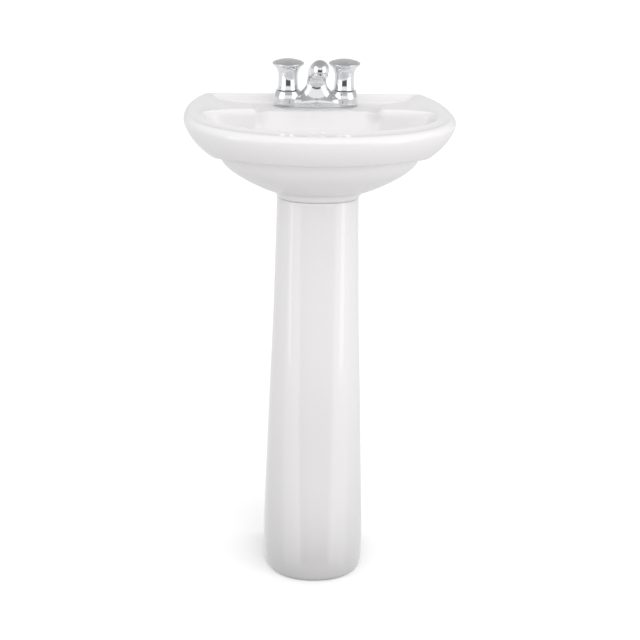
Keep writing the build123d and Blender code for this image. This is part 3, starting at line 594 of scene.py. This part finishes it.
def bake(piece, crease=34):
    """Replaces a piece's mesh by its modified mesh, with edges sharper than crease degrees left sharp."""
    bpy.context.view_layer.update()
    evaluated = piece.evaluated_get(bpy.context.evaluated_depsgraph_get())
    result = bpy.data.meshes.new_from_object(evaluated)
    piece.modifiers.clear()
    piece.data = result
    result.name = piece.name
    result.polygons.foreach_set("use_smooth", np.ones(len(result.polygons), bool))
    result.set_sharp_from_angle(angle=math.radians(crease))
    result.update()


def carve(piece, cutters, operation="DIFFERENCE"):
    """Cuts each closed cutter out of a piece (or joins it on) and deletes the cutter."""
    for cutter in cutters:
        modifier = piece.modifiers.new("carve", "BOOLEAN")
        modifier.operation = operation
        modifier.solver = "EXACT"
        modifier.object = cutter
    bake(piece)
    for cutter in cutters:
        bpy.data.objects.remove(cutter)


def settle(piece, target, body):
    """Puts a finished piece in place of a CAD node, hiding the node, and on its body."""
    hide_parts(target)
    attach(piece, body)


FAUCET_Y = 125.0
HANDLE_X = 50.8
carve(
    basin,
    [
        prism([(-176, 99), (176, 99), (178, 189), (-178, 189)], 690, DECK_Z - 14),
        *[disc(x, FAUCET_Y, 16, DECK_Z - 20, DECK_Z + 20) for x in (-HANDLE_X, 0, HANDLE_X)],
        *[lying_disc(x, WALL_BOLT_Z, WALL_BOLT_R, 180, 210) for x in (-WALL_BOLT_X, WALL_BOLT_X)],
        lying_disc(0, OVERFLOW_Z, OVERFLOW_R, -166, -132),
        prism([(-51, 0), (51, 0), (51, 103), (-51, 103)], 690, UNDER_Z),
    ],
)
settle(basin, "basin", "root")


# ---------------------------------------------------------------------------
# The pedestal: a tapered china shell standing on the floor, bolted through a
# bridge in its foot, open at the back between two flanges for the pipes.
# ---------------------------------------------------------------------------

SHAFT_Z = [0, 23, 54, 114, 194, 273, 350, 426, 502, 576, 631, 702]
SHAFT_HALF = [90.2, 92.0, 92.1, 90.5, 87.8, 85.2, 82.4, 79.3, 76.8, 75.0, 73.6, 72.4]
shaft_z = np.concatenate([[0, 1.2, 3.5, 7, 12, 20, 32], np.linspace(46, 690, 60), [696, 699.6, 701.3, 702]])
shaft_half = fair(SHAFT_Z, SHAFT_HALF, shaft_z)
edge_round = np.concatenate([[2.6, 1.2, 0.3], np.zeros(len(shaft_z) - 6), [0.2, 0.9, 2.4]])
widest = np.interp(shaft_z, [0, 200, 702], [-2, 4, 25])
shaft_front = fair([0, 26, 200, 370, 540, 702], [-113, -117, -96, -77, -61, -50], shaft_z)
shaft_power = np.interp(shaft_z, [0, 200, 540, 702], [2.25, 2.35, 2.65, 2.75])
SHELL = 12.0
SLOT_HALF = 45.0
SHAFT_BACK_Y = 100


def tube_faces(rows, columns):
    """Quads of a grid that closes on itself round each row only."""
    r, c = np.meshgrid(np.arange(rows - 1), np.arange(columns), indexing="ij")
    c2 = (c + 1) % columns
    corners = (r * columns + c, r * columns + c2, (r + 1) * columns + c2, (r + 1) * columns + c)
    return np.stack(corners, axis=-1).reshape(-1, 4)


def shaft_ring(inset, back):
    """Rings of the shaft, inset all round, as (rows, points, 3)."""
    half = shaft_half - inset
    x, y = d_ring(half, widest, shaft_front + inset, back, 0.85 * half, shaft_power)
    return ring((x, y), column(shaft_z))


outer = shaft_ring(edge_round, SHAFT_BACK_Y - edge_round)
inner = shaft_ring(SHELL - edge_round, SHAFT_BACK_Y - SHELL + 0 * edge_round)
# leave out the middle of the back: keep the columns from one flange, round the front, to the other
order = np.roll(np.arange(AROUND), -(SIDE_STEPS + BACK_STEPS))
keep = np.concatenate([order[: AROUND - BACK_STEPS], [SIDE_STEPS]])
outer, inner = outer[:, keep], inner[:, keep]
flange_rows = 8


def flange(points, side):
    """Straight columns from a rear corner in to the slot's edge."""
    corner = points[:, :1] if side < 0 else points[:, -1:]
    share = (np.arange(1, flange_rows + 1) / flange_rows)[None, :, None]
    target = np.concatenate([np.full_like(corner[..., :1], side * SLOT_HALF), corner[..., 1:]], axis=-1)
    run = corner * (1 - share) + target * share
    return run[:, ::-1] if side < 0 else run


outer = np.concatenate([flange(outer, -1), outer, flange(outer, 1)], axis=1)
inner = np.concatenate([flange(inner, -1), inner, flange(inner, 1)], axis=1)
loop = np.concatenate([outer, inner[:, ::-1]], axis=1)
rows, around = loop.shape[:2]
walls = tube_faces(rows, around)
half_way = around // 2
k = np.arange(half_way - 1)
foot_cap = np.stack([k, around - 1 - k, around - 2 - k, k + 1], axis=-1)
top_cap = np.stack([k, k + 1, around - 2 - k, around - 1 - k], axis=-1) + (rows - 1) * around
faces = np.concatenate([walls, foot_cap, top_cap])
pedestal = finish_mesh("pedestal_china", loop * MM, faces)
carve(pedestal, [box_cut((-78, 60, 0.4), (78, 86, 14))], "UNION")
carve(pedestal, [disc(0, 74, 5.5, -5, 20)])
settle(pedestal, "pedestal", "root")


# ---------------------------------------------------------------------------
# The faucet body: one chrome-plated casting of base plate, two valve hubs and
# the spout, whose neck spreads into a broad apron on the plate. It sits on a
# gasket and is held down by the nuts on its two shanks.
# ---------------------------------------------------------------------------

PLATE_Z = DECK_Z + 2
PLATE_TOP_Z = 858.0
PLATE_HALF = 76.5
PLATE_BACK_Y = 148
HUB_TOP_Z = 869.0
TIP_Y = 27.0
TIP_Z = 923.0
TIP_R = 16.0


def weld(piece, distance=1e-6):
    """Joins points that lie together, and points every face outwards."""
    tidy = bmesh.new()
    tidy.from_mesh(piece.data)
    bmesh.ops.remove_doubles(tidy, verts=tidy.verts, dist=distance)
    bmesh.ops.recalc_face_normals(tidy, faces=tidy.faces)
    tidy.to_mesh(piece.data)
    tidy.free()
    piece.data.update()


def capped(name, rings):
    """A closed solid from rings of points in millimetres, each end drawn in to its middle."""
    first, last = (
        np.repeat(end.mean(axis=1, keepdims=True), rings.shape[1], axis=1) for end in (rings[:1], rings[-1:])
    )
    rings = np.concatenate([first, rings, last])
    piece = finish_mesh(name, rings * MM, tube_faces(*rings.shape[:2]))
    weld(piece)
    return piece


def lathe(name, profile, x, y, closed=True, steps=96):
    """A profile of (radius, height) turned about an upright axis; poles and seams are welded."""
    profile = np.asarray(profile, float)
    turn = 2 * np.pi * shares(steps)[None, :]
    radius, height = profile[:, :1], profile[:, 1:]
    points = np.stack([x + radius * np.cos(turn), y + radius * np.sin(turn), height + 0 * turn], axis=-1)
    faces = torus_faces(*points.shape[:2]) if closed else tube_faces(*points.shape[:2])
    piece = finish_mesh(name, points * MM, faces)
    weld(piece)
    piece.data.set_sharp_from_angle(angle=math.radians(34))
    return piece


def curve(stations, steps):
    """Points along a smooth curve through stations of (radius, height)."""
    stations = np.asarray(stations, float)
    length = np.concatenate([[0], np.cumsum(np.hypot(*np.diff(stations, axis=0).T))])
    at = np.linspace(0, length[-1], steps)
    return np.column_stack([fair(length, stations[:, 0], at), fair(length, stations[:, 1], at)])


# plan of the plate: straight back, square ends, a front that bows forwards
plate_turn = 2 * np.pi * shares(160)
plate_c, plate_s = power_curve(plate_turn, 7.0)
plate_rows = np.array(
    [(1.0, PLATE_Z), (0, PLATE_Z + 0.8), (0.3, 852), (0.7, 854.5), (1.6, 856.6), (3.4, PLATE_TOP_Z)]
)
inset, plate_level = plate_rows[:, :1], plate_rows[:, 1:]
plate_x = (PLATE_HALF - inset) * plate_c
bow = 118 - 22 * (1 - (plate_x / PLATE_HALF) ** 2)
reach = np.where(plate_s > 0, PLATE_BACK_Y - inset - FAUCET_Y, FAUCET_Y - bow - inset)
plate_y = FAUCET_Y + reach * plate_s
plate = capped("plate", np.stack([plate_x, plate_y, plate_level + 0 * plate_x], axis=-1))

hub_profile = [
    (0.001, PLATE_Z + 4),
    (25.2, PLATE_Z + 4),
    (25.0, 857),
    (23.8, 862),
    (22.2, 866.5),
    (21.6, 868.4),
    (20.6, HUB_TOP_Z),
    (0.001, HUB_TOP_Z),
]
hubs = [lathe("hub", hub_profile, x, FAUCET_Y, closed=False, steps=64) for x in (-HANDLE_X, HANDLE_X)]

# the neck and spout: a line in the middle plane, with the section's half width and half depth
spout_share = np.array([0, 0.10, 0.17, 0.25, 0.36, 0.46, 0.55, 0.64, 0.74, 0.86, 1.0])
spout_y = [118, 117, 116, 115, 114, 112, 107, 97, 80, 56, 27]
spout_z = [850, 858, 864, 871, 880, 889, 898, 906.5, 913.5, 919.5, 923.5]
spout_half = [60, 45, 33, 24.5, 18.6, 17.2, 16.6, 16.3, 16.1, 16, 15.6]
spout_depth = [22, 20, 17, 14.5, 12.6, 12.0, 12.0, 12.0, 12.0, 12.0, 12.0]
at = np.linspace(0, 1, 60)
line_y, line_z = fair(spout_share, spout_y, at), fair(spout_share, spout_z, at)
half_wide, half_deep = fair(spout_share, spout_half, at), fair(spout_share, spout_depth, at)
along = np.stack([np.gradient(line_y), np.gradient(line_z)])
along = along / np.hypot(*along)
round_turn = 2 * np.pi * shares(72)
section_c, section_s = power_curve(round_turn, 2.2)
neck_x = half_wide[:, None] * section_c
neck_y = line_y[:, None] + half_deep[:, None] * section_s * -along[1][:, None]
neck_z = line_z[:, None] + half_deep[:, None] * section_s * along[0][:, None]
neck = capped("neck", np.stack([neck_x, neck_y, neck_z], axis=-1))
dome = [(0.001, 916.8), (14.6, 916.8), (15.6, 917.6), (TIP_R, 919.5), (TIP_R, TIP_Z)]
sweep = np.linspace(0, np.pi / 2, 16)[1:]
dome += [(max(TIP_R * math.cos(a), 0.001), TIP_Z + TIP_R * math.sin(a)) for a in sweep]
tip = lathe("tip", dome, 0, TIP_Y, closed=False, steps=64)

casting = plate
for part in (*hubs, neck, tip):
    modifier = casting.modifiers.new("join", "BOOLEAN")
    modifier.operation = "UNION"
    modifier.solver = "EXACT"
    modifier.object = part
remesh = casting.modifiers.new("skin", "REMESH")
remesh.mode = "VOXEL"
remesh.voxel_size = 0.00085
blend = casting.modifiers.new("blend", "SMOOTH")
blend.factor = 0.5
blend.iterations = 9
bake(casting, 60)
for part in (*hubs, neck, tip):
    bpy.data.objects.remove(part)
casting.name = "faucet_casting"
carve(
    casting,
    [
        box_cut((-70, 121, PLATE_Z - 2), (70, 144, 854.6)),
        *[disc(x, FAUCET_Y, 15.4, PLATE_Z - 3, HUB_TOP_Z + 3) for x in (-HANDLE_X, HANDLE_X)],
        disc(0, 115, 6.7, PLATE_Z - 3, 862),
        disc(0, TIP_Y, 11.1, 905, 925),
        disc(0, 137, 2.7, 850, 905),
    ],
)
settle(casting, "faucet_body", "root")


# ---------------------------------------------------------------------------
# The handles: turned and chromed knobs with a waist, each closed by a domed cap
# over its screw; and the knurled ring that holds the aerator in the spout.
# ---------------------------------------------------------------------------

HANDLE_TOP_Z = 925.0
CAP_R = 22.0


def dome_z(radius):
    """Height of the shallow domed top at a radius."""
    return HANDLE_TOP_Z - 6.4 * (radius / 28.6) ** 2.2


FLANK = [(19.0, 871.0), (18.5, 874), (17.7, 881), (17.3, 890), (17.6, 898), (19.4, 905), (23.0, 910.6), (27.4, 914.6)]
flank = curve(FLANK, 40)
brim = [(28.3, 915.8), (28.6, 917.0), (28.2, 918.1)]
crown = [(radius, dome_z(radius)) for radius in np.linspace(27.2, CAP_R + 0.25, 8)]
# inside: the cap's seat, the screw hole, the stem's socket and the hollow over the bonnet nut
bore = [(CAP_R, 919.9), (CAP_R, 915.0), (2.3, 915.0), (2.3, 906.2), (4.1, 906.2), (4.1, 897)]
bore += [(13, 897), (13, 876), (15, 876), (15, 869.6), (18.4, 869.6), (19.0, 870.1)]
handle_profile = [*flank.tolist(), *brim, *crown, *bore]
for name, x in (("left", -HANDLE_X), ("right", HANDLE_X)):
    handle = lathe(f"{name}_handle_turned", handle_profile, x, FAUCET_Y, steps=128)
    settle(handle, f"{name}_handle", f"{name}_valve")
    radii = np.linspace(CAP_R - 0.15, 0, 12)
    lid = [(0, 917.6), (CAP_R - 0.15, 917.6)] + [(radius, dome_z(radius)) for radius in radii]
    cap = lathe(f"{name}_cap_domed", lid, x, FAUCET_Y, closed=False, steps=128)
    settle(cap, f"{name}_handle_cap", f"{name}_valve")

# twelve flats with grooves between them run round the ring's lower half
GRIP_ROWS = [(9, 908.6), (12.6, 908.6), (13.6, 909.4), (14, 910.4), (14, 915.4)]
SEAT_ROWS = [(14.2, 915.9), (14.2, 916.7), (11, 916.9), (11, 921.8), (9, 921.8)]
ring_rows = np.array([*GRIP_ROWS, *SEAT_ROWS])
ring_turn = 2 * np.pi * shares(192)[None, :]
groove = smoothstep(np.cos(12 * ring_turn), 0.55, 0.8)
grooved = ((ring_rows[:, 0] > 12) & (ring_rows[:, 1] < 915.5)).astype(float)[:, None]
ring_r = ring_rows[:, :1] - 1.3 * groove * grooved
ring_level = ring_rows[:, 1:] + 0 * ring_turn
grip = np.stack([ring_r * np.cos(ring_turn), TIP_Y + ring_r * np.sin(ring_turn), ring_level], axis=-1)
aerator = finish_mesh("aerator_grip", grip * MM, torus_faces(*grip.shape[:2]))
weld(aerator)
aerator.data.set_sharp_from_angle(angle=math.radians(40))
settle(aerator, "aerator_ring", "root")


# ---------------------------------------------------------------------------
# Finishes. China is glazed: an even white with faint cloudiness under a glassy
# coat that ripples very slightly. Brass and plated steel carry fine polishing marks,
# chrome a faint grain; rubber and plastic a moulded grain. All noise is placed in object space.
# ---------------------------------------------------------------------------


def grain_group():
    """Node group from a position to three masks: broad clouding, fine grain and polishing marks."""
    group = bpy.data.node_groups.new("surface_grain", "ShaderNodeTree")
    group.interface.new_socket("Position", in_out="INPUT", socket_type="NodeSocketVector")
    for mask in ("Cloud", "Grain", "Marks"):
        group.interface.new_socket(mask, in_out="OUTPUT", socket_type="NodeSocketFloat")
    source = group.nodes.new("NodeGroupInput").outputs["Position"]
    sink = group.nodes.new("NodeGroupOutput")
    cloud = node(group, "ShaderNodeTexNoise", {"Vector": source, "Scale": 9.0, "Detail": 4.0, "Roughness": 0.55})
    grain = node(group, "ShaderNodeTexNoise", {"Vector": source, "Scale": 420.0, "Detail": 3.0})
    stretched = node(group, "ShaderNodeMapping", {"Vector": source, "Scale": (60.0, 60.0, 2600.0)})
    marks = node(group, "ShaderNodeTexNoise", {"Vector": stretched.outputs[0], "Scale": 1.0, "Detail": 2.0})
    group.links.new(cloud.outputs["Fac"], sink.inputs["Cloud"])
    group.links.new(grain.outputs["Fac"], sink.inputs["Grain"])
    group.links.new(marks.outputs["Fac"], sink.inputs["Marks"])
    return group


grain_masks = grain_group()


def finish(name, low, high, mask, rough, relief, metallic=0.0, coat=0.0, relief_mask="Grain"):
    """A material whose colour runs from low to high by one mask, its roughness by another, with slight relief."""
    made, tree, shader, place = material(name)
    masks = node(tree, "ShaderNodeGroup", {}, node_tree=grain_masks)
    tree.links.new(place, masks.inputs["Position"])
    colours = {"Factor": masks.outputs[mask], "A": (*low, 1), "B": (*high, 1)}
    tint = node(tree, "ShaderNodeMix", colours, data_type="RGBA")
    tree.links.new(tint.outputs["Result"], shader.inputs["Base Color"])
    wear = node(tree, "ShaderNodeMapRange", {0: masks.outputs["Cloud"], 1: 0.3, 2: 0.7, 3: rough[0], 4: rough[1]})
    tree.links.new(wear.outputs[0], shader.inputs["Roughness"])
    bump = node(tree, "ShaderNodeBump", {"Height": masks.outputs[relief_mask], "Strength": relief, "Distance": 0.0004})
    tree.links.new(bump.outputs[0], shader.inputs["Normal"])
    shader.inputs["Metallic"].default_value = metallic
    if coat:
        shader.inputs["Coat Weight"].default_value = coat
        shader.inputs["Coat Roughness"].default_value = 0.03
    return made


finishes = {
    "china": finish(
        "china_glaze",
        low=(0.79, 0.775, 0.782),
        high=(0.81, 0.795, 0.80),
        mask="Cloud",
        rough=(0.10, 0.16),
        relief=0.05,
        coat=0.35,
        relief_mask="Cloud",
    ),
    "chrome": finish(
        "chrome_plate",
        low=(0.80, 0.81, 0.83),
        high=(0.86, 0.87, 0.88),
        mask="Cloud",
        rough=(0.035, 0.07),
        relief=0.02,
        metallic=1.0,
    ),
    "brass": finish(
        "machined_brass",
        low=(0.62, 0.46, 0.22),
        high=(0.76, 0.60, 0.33),
        mask="Marks",
        rough=(0.22, 0.38),
        relief=0.15,
        metallic=1.0,
        relief_mask="Marks",
    ),
    "plated_steel": finish(
        "zinc_plate",
        low=(0.56, 0.57, 0.60),
        high=(0.70, 0.71, 0.72),
        mask="Marks",
        rough=(0.25, 0.42),
        relief=0.12,
        metallic=1.0,
        relief_mask="Marks",
    ),
    "black_rubber": finish(
        "black_rubber",
        low=(0.035, 0.035, 0.038),
        high=(0.065, 0.065, 0.07),
        mask="Grain",
        rough=(0.65, 0.85),
        relief=0.3,
    ),
    "grey_plastic": finish(
        "grey_plastic",
        low=(0.56, 0.57, 0.58),
        high=(0.66, 0.67, 0.68),
        mask="Grain",
        rough=(0.38, 0.52),
        relief=0.18,
    ),
}
slots = {entry["node"]: entry["material_slot"] for entry in frame["record"]["subparts"]}
for name, thing in nodes.items():
    paint(thing, finishes[slots[name]])
for piece in (basin, pedestal):
    paint(piece, finishes["china"])
for piece in scene.objects:
    if piece.type == "MESH" and not piece.data.materials:
        paint(piece, finishes["chrome"])
